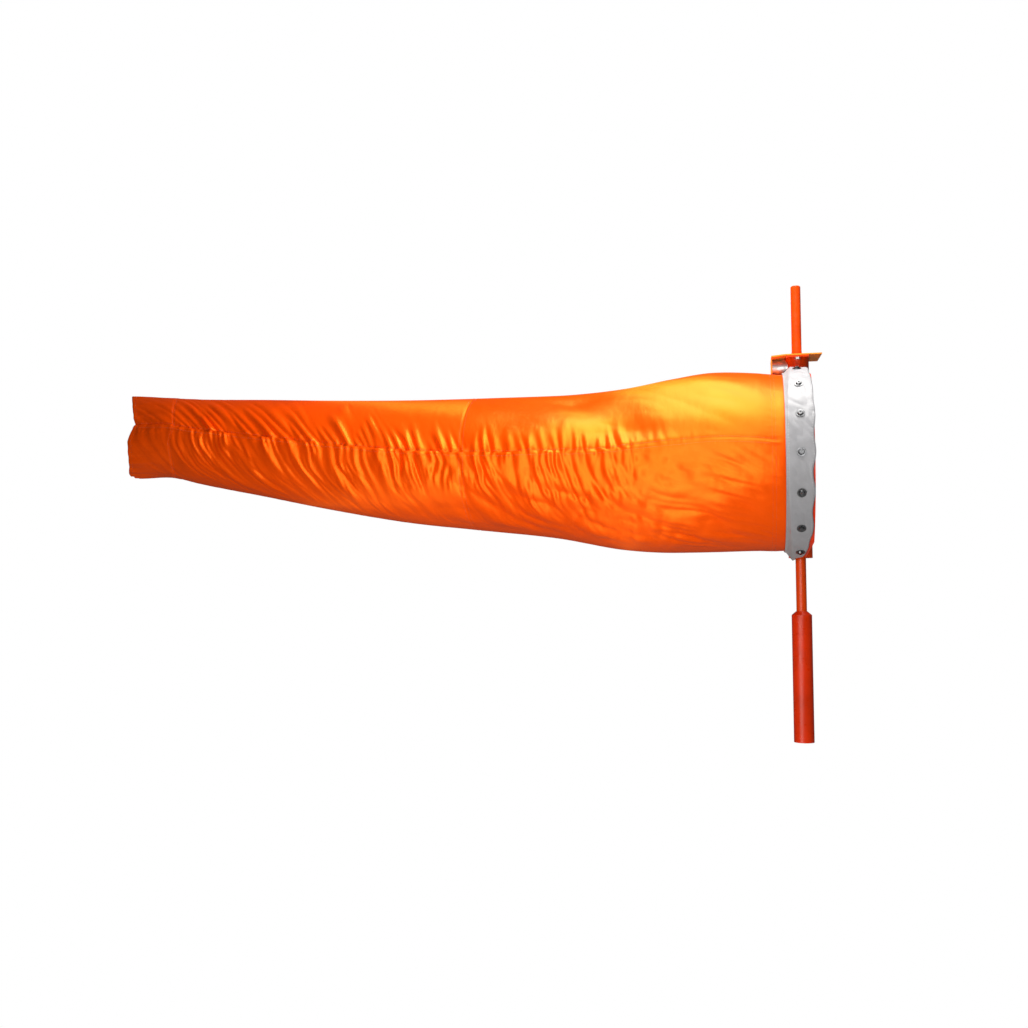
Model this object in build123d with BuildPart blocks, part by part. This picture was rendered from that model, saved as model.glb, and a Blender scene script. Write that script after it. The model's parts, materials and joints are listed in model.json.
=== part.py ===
from build123d import *
import math
import os

os.makedirs("parts", exist_ok=True)

# Driving dimensions in mm. Origin: centre of the pole's cut lower end, +Z up, sock along -X.
pole_r = 24.15
pole_bore_r = 20.95
pole_length = 260.0
cap_r = 24.15
cap_rim_z = 307.0
cap_peak_z = 315.0
cap_rim_chamfer = 1.2
cap_foot_chamfer = 0.8
spigot_r = 20.9
spigot_depth = 55.0
grub_r = 3.0
grub_z = 232.0
grub_angles = [30, 90, 150]
grub_inner_r = 16.2
grub_length = 7.4
grub_hole_r = 3.05
grub_hexagon_r = 1.7
end_chamfer = 1.5

spindle_r = 12.5
spindle_seat_r = 12.55
spindle_bottom_z = 207.0
spindle_top_z = 1122.0
spindle_top_r = 12.0
spindle_step_z = 955.0
spindle_groove_depth = 0.6
collar_r = 18.0
collar_height = 11.0
collar_hole_r = 2.55
collar_screw_r = 2.5

sleeve_r = 28.5
sleeve_bore_r = 26.0
sleeve_bottom_z = 445.0
sleeve_top_z = 940.0

bearing_width = 15.0
bearing_pitch_r = 19.25
lower_bearing_z = 466.0
upper_bearing_z = 915.5
race_r = 4.1
ball_r = 3.75
ball_count = 9
inner_race_r = 16.3
outer_race_r = 22.2
ring_inner_r = 12.52
ring_outer_r = 25.98
cage_inner_r = 18.3
cage_outer_r = 20.2
cage_height = 10.4
seal_thickness = 0.8
seal_offsets = [-7.3, 6.5]
circlip_groove_depth = 0.9
circlip_groove_width = 1.6

plate_thickness = 3.0
plate_drop = 3.0
plate_bend_x = -29.5
plate_end_slant = 6.0
plate_left_x = -63.0
plate_right_x = 58.0
plate_half_width = 44.0
leg_bottom_z = 900.0
leg_half_width = 24.0
plate_hole_r = 14.0
plate_cut_depth = 6.0
bolt_x = 0.0
bolt_y = 37.0
bolt_r = 4.0
bolt_hole_r = 4.25
bolt_head_half_flats = 6.5
bolt_head_height = 5.3
ear_y = 35.5
ear_length = 54.0
ear_width = 17.0
ear_thickness = 4.95

standoff_r = 19.5
standoff_z = 917.2
standoff_screw_r = 5.0
standoff_hole_r = 5.05
standoff_hole_depth = 24.0
countersink_r = 8.3
countersunk_head_r = 8.2
face_gap = 0.05
weld_gap = 0.02

hoop_z = 676.0
hoop_inner_r = 231.0
hoop_outer_r = 234.0
hoop_rear_x = -30.0
hoop_width = 56.0
# Hoop end cuts: distance ahead of the mast, height from the hoop's centre.
hoop_front_cut = [(30, 190), (12, 228), (0, 231.5), (0, 245), (40, 245), (40, 190)]
hoop_rear_cut = [(-31, 170), (-20, 226), (-15, 245), (-40, 245), (-40, 170)]
band_inner_r = 234.3
band_outer_r = 238.0
band_rear_x = -38.5
screw_x = -4.5
screw_step = 22.5
screw_count_side = 7
screw_r = 4.0
screw_hole_r = 4.2
screw_hole_start_r = 225.0
screw_inner_r = 222.0
screw_head_r = 7.0
screw_head_height = 3.8
washer_r = 10.5
washer_thickness = 1.6
nut_start_r = 224.3
nut_half_flats = 6.5
nut_height = 6.5
cut_reach = 260.0

sock_wall = 3.0
hinge_gap = 0.6
# Sock stations: distance behind the mast, top height, bottom height, half width.
throat_stations = [
    (31, 895, 463, 230.5),
    (38.5, 895, 463, 233.4),
    (60, 896.5, 462.5, 237.5),
    (100, 902, 463, 240),
    (200, 908, 461, 236),
    (300, 897, 460, 224),
    (430, 876, 468, 216),
]
middle_stations = [
    (430 + hinge_gap, 876, 468, 216),
    (600, 866, 499, 213),
    (818, 867, 524, 194),
    (1000, 870, 545, 177),
    (1240, 879, 587, 160),
]
tail_stations = [
    (1240 + hinge_gap, 879, 587, 160),
    (1400, 887, 620, 149),
    (1600, 896, 660, 136),
    (1700, 904, 683, 130),
    (1810, 911, 686, 115),
]


def radial_plane(angle, radius, z):
    """Plane facing outward from the mast axis at an angle about +Z."""
    a = math.radians(angle)
    out = (math.cos(a), math.sin(a), 0)
    return Plane(origin=(radius * out[0], radius * out[1], z), x_dir=(0, 0, 1), z_dir=out)


def hoop_plane(angle, side, radius):
    """Plane facing outward from the hoop axis; side -1 is the near half and +1 the far half."""
    a = math.radians(angle)
    out = (0, side * math.cos(a), math.sin(a))
    origin = (screw_x, radius * out[1], hoop_z + radius * out[2])
    return Plane(origin=origin, x_dir=(1, 0, 0), z_dir=out)


def section_plane(x, z):
    return Plane(origin=(x, 0, z), x_dir=(0, 1, 0), z_dir=(1, 0, 0))


def screw_planes(radius):
    planes = []
    for side in (-1, 1):
        for i in range(screw_count_side):
            angle = (i - (screw_count_side - 1) / 2) * screw_step
            planes.append(hoop_plane(angle, side, radius))
    return planes


def save(builder, name):
    builder.part.label = name
    export_step(builder.part, f"parts/{name}.step")


# Pole tube with three holes for the cap's grub screws.
with BuildPart() as pole_tube:
    with BuildSketch(Plane.XY):
        Circle(pole_r)
        Circle(pole_bore_r, mode=Mode.SUBTRACT)
    extrude(amount=pole_length)
    for angle in grub_angles:
        with BuildSketch(radial_plane(angle, 18.0, grub_z)):
            Circle(grub_hole_r)
        extrude(amount=10.0, mode=Mode.SUBTRACT)
save(pole_tube, "pole_tube")

# Turned cap: spigot in the tube, shoulder on its rim, shallow cone on top, bored for the spindle.
with BuildPart() as pole_cap:
    with BuildSketch(Plane.XZ):
        with BuildLine():
            Polyline(
                (spindle_seat_r, pole_length - spigot_depth),
                (spigot_r - end_chamfer, pole_length - spigot_depth),
                (spigot_r, pole_length - spigot_depth + end_chamfer),
                (spigot_r, pole_length),
                (cap_r - cap_foot_chamfer, pole_length),
                (cap_r, pole_length + cap_foot_chamfer),
                (cap_r, cap_rim_z - cap_rim_chamfer),
                (cap_r - cap_rim_chamfer, cap_rim_z),
                (spindle_seat_r + 1.0, cap_peak_z),
                (spindle_seat_r, cap_peak_z),
                close=True,
            )
        make_face()
    revolve(axis=Axis.Z)
    for angle in grub_angles:
        with BuildSketch(radial_plane(angle, 16.0, grub_z)):
            Circle(grub_hole_r)
        extrude(amount=8.0, mode=Mode.SUBTRACT)
save(pole_cap, "pole_cap")

# Grub screws with hexagon sockets, flush with the tube.
with BuildPart() as cap_grub_screws:
    for angle in grub_angles:
        with BuildSketch(radial_plane(angle, grub_inner_r, grub_z)):
            Circle(grub_r)
        extrude(amount=grub_length)
        with BuildSketch(radial_plane(angle, 20.6, grub_z)):
            RegularPolygon(grub_hexagon_r, 6)
        extrude(amount=4.0, mode=Mode.SUBTRACT)
save(cap_grub_screws, "cap_grub_screws")

# Spindle: round bar, turned down above the swivel, with a circlip groove above the upper bearing.
upper_clip_z = upper_bearing_z + bearing_width / 2 + 0.1
with BuildPart() as spindle:
    with BuildSketch(Plane.XZ):
        with BuildLine():
            Polyline(
                (0, spindle_bottom_z),
                (spindle_r - end_chamfer, spindle_bottom_z),
                (spindle_r, spindle_bottom_z + end_chamfer),
                (spindle_r, upper_clip_z),
                (spindle_r - spindle_groove_depth, upper_clip_z),
                (spindle_r - spindle_groove_depth, upper_clip_z + 1.3),
                (spindle_r, upper_clip_z + 1.3),
                (spindle_r, spindle_step_z),
                (spindle_top_r, spindle_step_z),
                (spindle_top_r, spindle_top_z - 2.0),
                (spindle_top_r - 2.0, spindle_top_z),
                (0, spindle_top_z),
                close=True,
            )
        make_face()
    revolve(axis=Axis.Z)
save(spindle, "spindle")

# Thrust collar under the lower bearing, with a radial tapped hole.
collar_top_z = lower_bearing_z - bearing_width / 2 - 0.05
collar_bottom_z = collar_top_z - collar_height
collar_mid_z = (collar_top_z + collar_bottom_z) / 2
with BuildPart() as thrust_collar:
    with BuildSketch(Plane.XZ):
        with BuildLine():
            Polyline(
                (spindle_seat_r, collar_bottom_z),
                (collar_r - 0.8, collar_bottom_z),
                (collar_r, collar_bottom_z + 0.8),
                (collar_r, collar_top_z - 2.5),
                (collar_r - 2.5, collar_top_z),
                (spindle_seat_r, collar_top_z),
                close=True,
            )
        make_face()
    revolve(axis=Axis.Z)
    with BuildSketch(radial_plane(90, 10.0, collar_mid_z - 0.5)):
        Circle(collar_hole_r)
    extrude(amount=10.0, mode=Mode.SUBTRACT)
save(thrust_collar, "thrust_collar")

with BuildPart() as collar_screw:
    with BuildSketch(radial_plane(90, spindle_r + 0.1, collar_mid_z - 0.5)):
        Circle(collar_screw_r)
    extrude(amount=5.2)
    with BuildSketch(radial_plane(90, spindle_r + 2.8, collar_mid_z - 0.5)):
        RegularPolygon(1.4, 6)
    extrude(amount=4.0, mode=Mode.SUBTRACT)
save(collar_screw, "collar_screw")

# External circlip on the spindle above the upper inner ring, open at the back.
with BuildPart() as spindle_circlip:
    with BuildSketch(Plane.XY.offset(upper_clip_z + 0.05)):
        Circle(16.4)
        Circle(spindle_r - 0.55, mode=Mode.SUBTRACT)
        with Locations((0, 15)):
            Rectangle(8.0, 12.0, mode=Mode.SUBTRACT)
    extrude(amount=1.2)
save(spindle_circlip, "spindle_circlip")


def inner_ring(z):
    with BuildPart() as ring:
        with BuildSketch(Plane.XZ):
            with Locations(((ring_inner_r + inner_race_r) / 2, z)):
                Rectangle(inner_race_r - ring_inner_r, bearing_width)
            with Locations((bearing_pitch_r, z)):
                Circle(race_r, mode=Mode.SUBTRACT)
        revolve(axis=Axis.Z)
    return ring


def outer_ring(z):
    with BuildPart() as ring:
        with BuildSketch(Plane.XZ):
            with Locations(((outer_race_r + ring_outer_r) / 2, z)):
                Rectangle(ring_outer_r - outer_race_r, bearing_width)
            with Locations((bearing_pitch_r, z)):
                Circle(race_r, mode=Mode.SUBTRACT)
        revolve(axis=Axis.Z)
    return ring


def ball_set(z):
    with BuildPart() as balls:
        with Locations((0, 0, z)):
            with PolarLocations(bearing_pitch_r, ball_count):
                Sphere(ball_r)
    return balls


def cage_ring(z):
    with BuildPart() as cage:
        with BuildSketch(Plane.XY.offset(z - cage_height / 2)):
            Circle(cage_outer_r)
            Circle(cage_inner_r, mode=Mode.SUBTRACT)
        extrude(amount=cage_height)
        for i in range(ball_count):
            with BuildSketch(radial_plane(i * 360 / ball_count, 14.0, z)):
                Circle(ball_r + 0.2)
            extrude(amount=9.0, mode=Mode.SUBTRACT)
    return cage


save(inner_ring(lower_bearing_z), "lower_inner_ring")
save(inner_ring(upper_bearing_z), "upper_inner_ring")
save(outer_ring(lower_bearing_z), "lower_outer_ring")
save(outer_ring(upper_bearing_z), "upper_outer_ring")
save(ball_set(lower_bearing_z), "lower_balls")
save(ball_set(upper_bearing_z), "upper_balls")
save(cage_ring(lower_bearing_z), "lower_cage")
save(cage_ring(upper_bearing_z), "upper_cage")

# Rubber seals, one at each face of both bearings.
with BuildPart() as bearing_seals:
    for z in (lower_bearing_z, upper_bearing_z):
        for offset in seal_offsets:
            with BuildSketch(Plane.XY.offset(z + offset)):
                Circle(outer_race_r - 0.05)
                Circle(inner_race_r + 0.4, mode=Mode.SUBTRACT)
            extrude(amount=seal_thickness)
save(bearing_seals, "bearing_seals")

# Swivel tube that carries the hoop, with two internal circlip grooves.
lower_groove_z = lower_bearing_z - bearing_width / 2 - 1.7
upper_groove_z = upper_bearing_z + bearing_width / 2 + 0.1
with BuildPart() as swivel_tube:
    with BuildSketch(Plane.XY.offset(sleeve_bottom_z)):
        Circle(sleeve_r)
        Circle(sleeve_bore_r, mode=Mode.SUBTRACT)
    extrude(amount=sleeve_top_z - sleeve_bottom_z)
    for z in (lower_groove_z, upper_groove_z):
        with BuildSketch(Plane.XY.offset(z)):
            Circle(sleeve_bore_r + circlip_groove_depth)
            Circle(sleeve_bore_r - 1.0, mode=Mode.SUBTRACT)
        extrude(amount=circlip_groove_width, mode=Mode.SUBTRACT)
save(swivel_tube, "swivel_tube")

with BuildPart() as sleeve_circlips:
    for z in (lower_groove_z, upper_groove_z):
        with BuildSketch(Plane.XY.offset(z + 0.05)):
            Circle(sleeve_bore_r + 0.8)
            Circle(23.4, mode=Mode.SUBTRACT)
            with Locations((0, 25)):
                Rectangle(12.0, 8.0, mode=Mode.SUBTRACT)
        extrude(amount=1.5)
save(sleeve_circlips, "sleeve_circlips")

# Bent top plate with its down-leg, drilled for the spindle and three bolts.
leg_top_z = sleeve_top_z - plate_drop
notch_y = (plate_half_width + leg_half_width + 1.0) / 2
notch_z = (leg_bottom_z + leg_top_z) / 2 - 1.0
with BuildPart() as top_bracket:
    with BuildSketch(Plane.XZ):
        with BuildLine():
            Polyline(
                (plate_left_x, leg_bottom_z),
                (plate_left_x + plate_thickness, leg_bottom_z),
                (plate_left_x + plate_thickness, leg_top_z),
                (plate_bend_x, sleeve_top_z),
                (plate_right_x, sleeve_top_z),
                (plate_right_x, sleeve_top_z + plate_thickness),
                (plate_bend_x, sleeve_top_z + plate_thickness),
                (plate_left_x, leg_top_z + plate_thickness),
                close=True,
            )
        make_face()
    extrude(amount=plate_half_width, both=True)
    fillet(top_bracket.edges().filter_by(Axis.Y).group_by(Axis.X)[0].group_by(Axis.Z)[-1], 2.6)
    with BuildSketch(Plane.XY.offset(sleeve_top_z - 1.0)):
        Circle(plate_hole_r)
        with Locations((bolt_x, -bolt_y), (bolt_x, bolt_y)):
            Circle(bolt_hole_r)
        with BuildLine():
            Polyline(
                (plate_right_x, -plate_half_width),
                (plate_right_x + 1.0, plate_half_width),
                (plate_right_x - plate_end_slant, plate_half_width),
                close=True,
            )
        make_face()
    extrude(amount=plate_cut_depth, mode=Mode.SUBTRACT)
    with BuildSketch(Plane.YZ.offset(plate_left_x)):
        with Locations((0, standoff_z)):
            Circle(countersink_r)
    extrude(amount=plate_thickness, taper=45, mode=Mode.SUBTRACT)
    with BuildSketch(Plane.YZ.offset(plate_left_x - 1.0)):
        with Locations((0, standoff_z)):
            Circle(standoff_screw_r + 0.25)
        for side in (-1, 1):
            with Locations((side * notch_y, notch_z)):
                Rectangle(plate_half_width - leg_half_width + 1.0, leg_top_z - leg_bottom_z + 2.0)
    extrude(amount=plate_cut_depth, mode=Mode.SUBTRACT)
save(top_bracket, "top_bracket")

# Welded ears on the swivel tube that the plate bolts down to.
with BuildPart() as bracket_ears:
    with BuildSketch(Plane.XY.offset(sleeve_top_z - ear_thickness - face_gap)):
        for side in (-1, 1):
            with Locations((0, side * ear_y)):
                Rectangle(ear_length, ear_width)
        Circle(sleeve_r + weld_gap, mode=Mode.SUBTRACT)
        with Locations((bolt_x, -bolt_y), (bolt_x, bolt_y)):
            Circle(bolt_hole_r, mode=Mode.SUBTRACT)
    extrude(amount=ear_thickness)
save(bracket_ears, "bracket_ears")

# Plate bolts: hexagon heads under the ears, shanks screwed into the plate and flush with its top.
bolt_seat_z = sleeve_top_z - ear_thickness - 2 * face_gap
with BuildPart() as bracket_bolts:
    for side in (-1, 1):
        with BuildSketch(Plane.XY.offset(bolt_seat_z - bolt_head_height)):
            with Locations((bolt_x, side * bolt_y)):
                RegularPolygon(bolt_head_half_flats, 6, major_radius=False)
        extrude(amount=bolt_head_height)
        with BuildSketch(Plane.XY.offset(bolt_seat_z)):
            with Locations((bolt_x, side * bolt_y)):
                Circle(bolt_r)
        extrude(amount=sleeve_top_z + plate_thickness - 0.1 - bolt_seat_z)
save(bracket_bolts, "bracket_bolts")

# Solid standoff between the tube and the leg, saddle-cut at the tube and tapped at the leg.
standoff_left_x = plate_left_x + plate_thickness + face_gap
with BuildPart() as standoff:
    with BuildSketch(Plane.YZ.offset(standoff_left_x)):
        with Locations((0, standoff_z)):
            Circle(standoff_r)
    extrude(amount=45.0)
    with BuildSketch(Plane.XY.offset(standoff_z - 30.0)):
        Circle(sleeve_r + weld_gap)
    extrude(amount=60.0, mode=Mode.SUBTRACT)
    with BuildSketch(Plane.XY.offset(standoff_z - 30.0)):
        with Locations((10.0, 0)):
            Rectangle(60.0, 60.0)
    extrude(amount=60.0, mode=Mode.SUBTRACT)
    with BuildSketch(Plane.YZ.offset(standoff_left_x - 1.0)):
        with Locations((0, standoff_z)):
            Circle(standoff_hole_r)
    extrude(amount=standoff_hole_depth, mode=Mode.SUBTRACT)
save(standoff, "standoff")

# Countersunk screw through the leg, its head flush with the leg's outer face.
with BuildPart() as standoff_bolt:
    with BuildSketch(Plane.YZ.offset(plate_left_x)):
        with Locations((0, standoff_z)):
            Circle(countersunk_head_r)
    extrude(amount=plate_thickness, taper=45)
    with BuildSketch(Plane.YZ.offset(plate_left_x + plate_thickness)):
        with Locations((0, standoff_z)):
            Circle(standoff_screw_r)
    extrude(amount=21.0)
    with BuildSketch(Plane.YZ.offset(plate_left_x)):
        with Locations((0, standoff_z)):
            RegularPolygon(3.0, 6)
    extrude(amount=4.0, mode=Mode.SUBTRACT)
save(standoff_bolt, "standoff_bolt")


def half_hoop(side):
    """One rolled half-hoop with tapered ends, drilled for its seven screws."""
    with BuildPart() as hoop:
        with BuildSketch(Plane.YZ.offset(hoop_rear_x)):
            with Locations((0, hoop_z)):
                Circle(hoop_outer_r)
                Circle(hoop_inner_r, mode=Mode.SUBTRACT)
            with Locations((-side * 150.0, hoop_z)):
                Rectangle(300.0, 600.0, mode=Mode.SUBTRACT)
        extrude(amount=hoop_width)
        for up in (-1, 1):
            for cut in (hoop_front_cut, hoop_rear_cut):
                with BuildSketch(Plane.XZ):
                    with BuildLine():
                        Polyline(*[(x, hoop_z + up * z) for x, z in cut], close=True)
                    make_face()
                extrude(amount=cut_reach, both=True, mode=Mode.SUBTRACT)
        with BuildSketch(Plane.XY.offset(hoop_z - 300.0)):
            Circle(sleeve_r + weld_gap)
        extrude(amount=600.0, mode=Mode.SUBTRACT)
        for i in range(screw_count_side):
            angle = (i - (screw_count_side - 1) / 2) * screw_step
            with BuildSketch(hoop_plane(angle, side, screw_hole_start_r)):
                Circle(screw_hole_r)
            extrude(amount=12.0, mode=Mode.SUBTRACT)
    return hoop


save(half_hoop(-1), "hoop_near")
save(half_hoop(1), "hoop_far")

# Reinforcing band around the hoop: its rear edge is straight, its front edge draws back at the mast.
band_profile = [
    (band_rear_x, hoop_z - 245.0),
    (-16.0, hoop_z - 245.0),
    (-16.0, hoop_z - 234.2),
    (5.0, hoop_z - 230.0),
    (16.0, hoop_z - 209.0),
    (24.0, hoop_z - 182.0),
    (27.0, hoop_z - 120.0),
    (27.0, hoop_z + 110.0),
    (24.0, hoop_z + 186.0),
    (21.0, hoop_z + 226.0),
    (-31.0, hoop_z + 232.0),
    (-31.0, hoop_z + 245.0),
    (band_rear_x, hoop_z + 245.0),
]
with BuildPart() as hoop_band:
    with BuildSketch(Plane.YZ.offset(-60.0)):
        with Locations((0, hoop_z)):
            Circle(band_outer_r)
            Circle(band_inner_r, mode=Mode.SUBTRACT)
    extrude(amount=100.0)
    with BuildSketch(Plane.XZ):
        with BuildLine():
            Polyline(*band_profile, close=True)
        make_face()
    extrude(amount=cut_reach, both=True, mode=Mode.INTERSECT)
    with BuildSketch(Plane.XY.offset(hoop_z + 200.0)):
        Rectangle(160.0, 41.0)
    extrude(amount=60.0, mode=Mode.SUBTRACT)
    for plane in screw_planes(screw_hole_start_r):
        with BuildSketch(plane):
            Circle(screw_hole_r)
        extrude(amount=20.0, mode=Mode.SUBTRACT)
save(hoop_band, "hoop_band")

# Button-head screws, plain washers and nuts that clamp the band to the hoop.
with BuildPart() as band_washers:
    for plane in screw_planes(band_outer_r + face_gap):
        with BuildSketch(plane):
            Circle(washer_r)
            Circle(screw_hole_r, mode=Mode.SUBTRACT)
        extrude(amount=washer_thickness)
save(band_washers, "band_washers")

head_seat_r = band_outer_r + washer_thickness + 2 * face_gap
with BuildPart() as band_screws:
    for plane in screw_planes(screw_inner_r):
        with BuildSketch(plane):
            Circle(screw_r)
        extrude(amount=head_seat_r - screw_inner_r)
    for plane in screw_planes(head_seat_r):
        with BuildSketch(plane):
            Circle(screw_head_r)
        extrude(amount=screw_head_height, taper=28)
    for plane in screw_planes(head_seat_r + 1.6):
        with BuildSketch(plane):
            RegularPolygon(2.6, 6)
        extrude(amount=4.0, mode=Mode.SUBTRACT)
save(band_screws, "band_screws")

with BuildPart() as band_nuts:
    for plane in screw_planes(nut_start_r):
        with BuildSketch(plane):
            RegularPolygon(nut_half_flats, 6, major_radius=False)
            Circle(screw_r + face_gap, mode=Mode.SUBTRACT)
        extrude(amount=nut_height)
save(band_nuts, "band_nuts")


def sock_shell(stations):
    """Hollow tapered length of sock lofted through its oval sections."""
    with BuildPart() as shell:
        for s, top, bottom, half_width in stations:
            with BuildSketch(section_plane(-s, (top + bottom) / 2)):
                Ellipse(half_width, (top - bottom) / 2)
        loft(ruled=True)
        for s, top, bottom, half_width in stations:
            with BuildSketch(section_plane(-s, (top + bottom) / 2)):
                Ellipse(half_width - sock_wall, (top - bottom) / 2 - sock_wall)
        loft(ruled=True, mode=Mode.SUBTRACT)
    return shell


save(sock_shell(throat_stations), "sock_throat")
save(sock_shell(middle_stations), "sock_middle")
save(sock_shell(tail_stations), "sock_tail")
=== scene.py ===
import json
import math

import bpy
import numpy as np
from mathutils import Euler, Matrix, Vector


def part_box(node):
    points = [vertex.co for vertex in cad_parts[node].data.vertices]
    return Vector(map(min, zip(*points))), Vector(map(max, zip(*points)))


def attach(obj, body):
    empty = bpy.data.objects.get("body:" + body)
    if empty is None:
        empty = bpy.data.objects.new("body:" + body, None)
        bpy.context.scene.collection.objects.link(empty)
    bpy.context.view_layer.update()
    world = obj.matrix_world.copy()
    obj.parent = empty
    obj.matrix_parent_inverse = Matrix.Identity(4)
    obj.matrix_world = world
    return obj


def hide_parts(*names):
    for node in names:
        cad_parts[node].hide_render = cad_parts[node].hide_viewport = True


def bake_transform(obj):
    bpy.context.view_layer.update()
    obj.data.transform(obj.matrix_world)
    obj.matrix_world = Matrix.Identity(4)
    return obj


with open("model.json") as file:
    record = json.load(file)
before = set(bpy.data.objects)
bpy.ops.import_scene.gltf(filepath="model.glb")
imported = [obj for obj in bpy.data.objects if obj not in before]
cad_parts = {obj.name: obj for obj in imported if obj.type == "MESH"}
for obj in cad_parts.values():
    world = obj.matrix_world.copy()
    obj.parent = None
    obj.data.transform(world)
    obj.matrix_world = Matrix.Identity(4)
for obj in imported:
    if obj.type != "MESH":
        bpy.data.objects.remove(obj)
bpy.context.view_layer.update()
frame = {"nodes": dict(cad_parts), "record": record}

# ---------------------------------------------------------------- sizes, in metres, from the frame
band_low, band_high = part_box("hoop_band")
ring_low, ring_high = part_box("hoop_near")
standoff_low, standoff_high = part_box("standoff")
SLEEVE_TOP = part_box("swivel_tube")[1]
SLEEVE_RADIUS = SLEEVE_TOP.y
EAR_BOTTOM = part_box("bracket_ears")[0].z
BAND_RADIUS = band_high.y
BAND_LEFT = band_low.x
HOOP_Z = (ring_low.z + ring_high.z) / 2
HOOP_RADIUS = -ring_low.y
MOUTH = -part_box("sock_throat")[1].x
TAIL = -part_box("sock_tail")[0].x
SCREW_X = sum(corner.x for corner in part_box("band_screws")) / 2
SCREW_STEP = math.radians(22.5)
SCREWS_PER_SIDE = 7
BAND_GAP = 0.0215
BAND_CLOTH = 0.0013
BAND_LOOSEST = 0.0035

# Sock mesh: spacing of its rows, and how many columns go round it.
GRID = 0.004
COLUMNS = 360
# Distances along the sock of the seam between its two cloths, their overlap, and the tail's hem.
PANEL_SEAM = 0.81
PANEL_LAP = 0.008
TAIL_HEM = 1.665

# Heights of the cloth's relief.
PUCKER_HEIGHT = 0.0135
FINE_HEIGHT = 0.0018
DIAGONAL_HEIGHT = 0.0075
BILLOW_HEIGHT = 0.0100
CROSS_HEIGHT = 0.0045
SLACK_HEIGHT = 0.0036
HOLLOW_DEPTH = 0.016
CREASE_HEIGHT = 0.0095
HEM_RIPPLE = 0.009
TUCK_HEIGHT = 0.0007
# Seeds of the puckers on the near and far sides.
NEAR_SEED = 11
FAR_SEED = 47

# Stitches: spacing, length, width, and how far they stand off the cloth.
STITCH_PITCH = 0.0055
STITCH_LENGTH = 0.0040
STITCH_WIDTH = 0.0009
STITCH_LIFT = 0.0002
BAND_STITCH_PITCH = 0.0065
BAND_STITCH_LENGTH = 0.0046
BAND_STITCH_WIDTH = 0.0010
# Heights above a side seam of its two rows of stitches.
SEAM_ROWS = (0.0035, -0.0085)

# Count of puckers above the side seam up to a distance along the sock; they widen towards the tail.
PUCKER_S = np.array([0.0, 1.15, 1.6, 1.9])
PUCKER_COUNT = np.array([0.0, 41.0, 52.8, 59.0])
# Angle round the tail from its near side, and how far the open end lies from the longest point there.
TAIL_ANGLE = np.array([-1.57, -1.30, -0.80, -0.25, -0.02, 0.15, 0.32, 0.785, 1.40, 1.57])
TAIL_DRAW = np.array([0.0, -0.002, -0.033, -0.046, -0.058, -0.068, -0.060, -0.038, -0.001, 0.0])
# Sock stations, as on its CAD lengths: distance behind the mast, top height, bottom height, half width.
STATIONS = np.array([
    (0.031, 0.895, 0.463, 0.2305),
    (0.0385, 0.895, 0.463, 0.2334),
    (0.060, 0.8965, 0.4625, 0.2364),
    (0.100, 0.902, 0.463, 0.2394),
    (0.200, 0.908, 0.461, 0.236),
    (0.300, 0.897, 0.460, 0.224),
    (0.430, 0.876, 0.468, 0.216),
    (0.600, 0.866, 0.499, 0.213),
    (0.818, 0.867, 0.524, 0.194),
    (1.000, 0.870, 0.545, 0.177),
    (1.240, 0.879, 0.587, 0.160),
    (1.400, 0.887, 0.620, 0.149),
    (1.600, 0.896, 0.660, 0.136),
    (1.700, 0.904, 0.683, 0.130),
    (1.810, 0.911, 0.686, 0.115),
])
# Height of the side seams above the sock's middle, as a share of its half height.
SEAM_RISE = [(0.0, 0.11), (0.4, 0.14), (0.7, 0.05), (0.9, 0.05), (1.2, 0.10), (1.5, 0.15), (1.8, 0.14)]
# Front edge of the band: height from the hoop's centre, and distance along X.
BAND_FRONT = [
    (-0.240, -0.016), (-0.2345, -0.016), (-0.230, 0.004), (-0.209, 0.014), (-0.182, 0.0205),
    (-0.120, 0.0225), (-0.020, 0.0245), (0.060, 0.027), (0.140, 0.027), (0.186, 0.025), (0.226, 0.020),
    (0.2325, -0.020), (0.240, -0.022),
]


# ---------------------------------------------------------------- camera and light
def add_camera():
    """A slightly long lens below the sock's middle, tilted up and turned towards the tail."""
    data = bpy.data.cameras.new("camera")
    data.lens = 38.03
    data.sensor_width = 36
    data.clip_end = 100
    camera = bpy.data.objects.new("camera", data)
    camera.location = (-0.125, -2.747, 0.353)
    camera.rotation_euler = Euler((math.radians(94.3), 0, math.radians(12.18)))
    bpy.context.scene.collection.objects.link(camera)
    bpy.context.scene.camera = camera


def add_light(name, place, target, size, power, colour=(1, 1, 1)):
    data = bpy.data.lights.new(name, "AREA")
    data.shape = "DISK"
    data.size = size
    data.energy = power
    data.color = colour
    light = bpy.data.objects.new(name, data)
    light.location = place
    light.rotation_mode = "QUATERNION"
    light.rotation_quaternion = (Vector(target) - Vector(place)).to_track_quat("-Z", "Y")
    bpy.context.scene.collection.objects.link(light)


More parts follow.
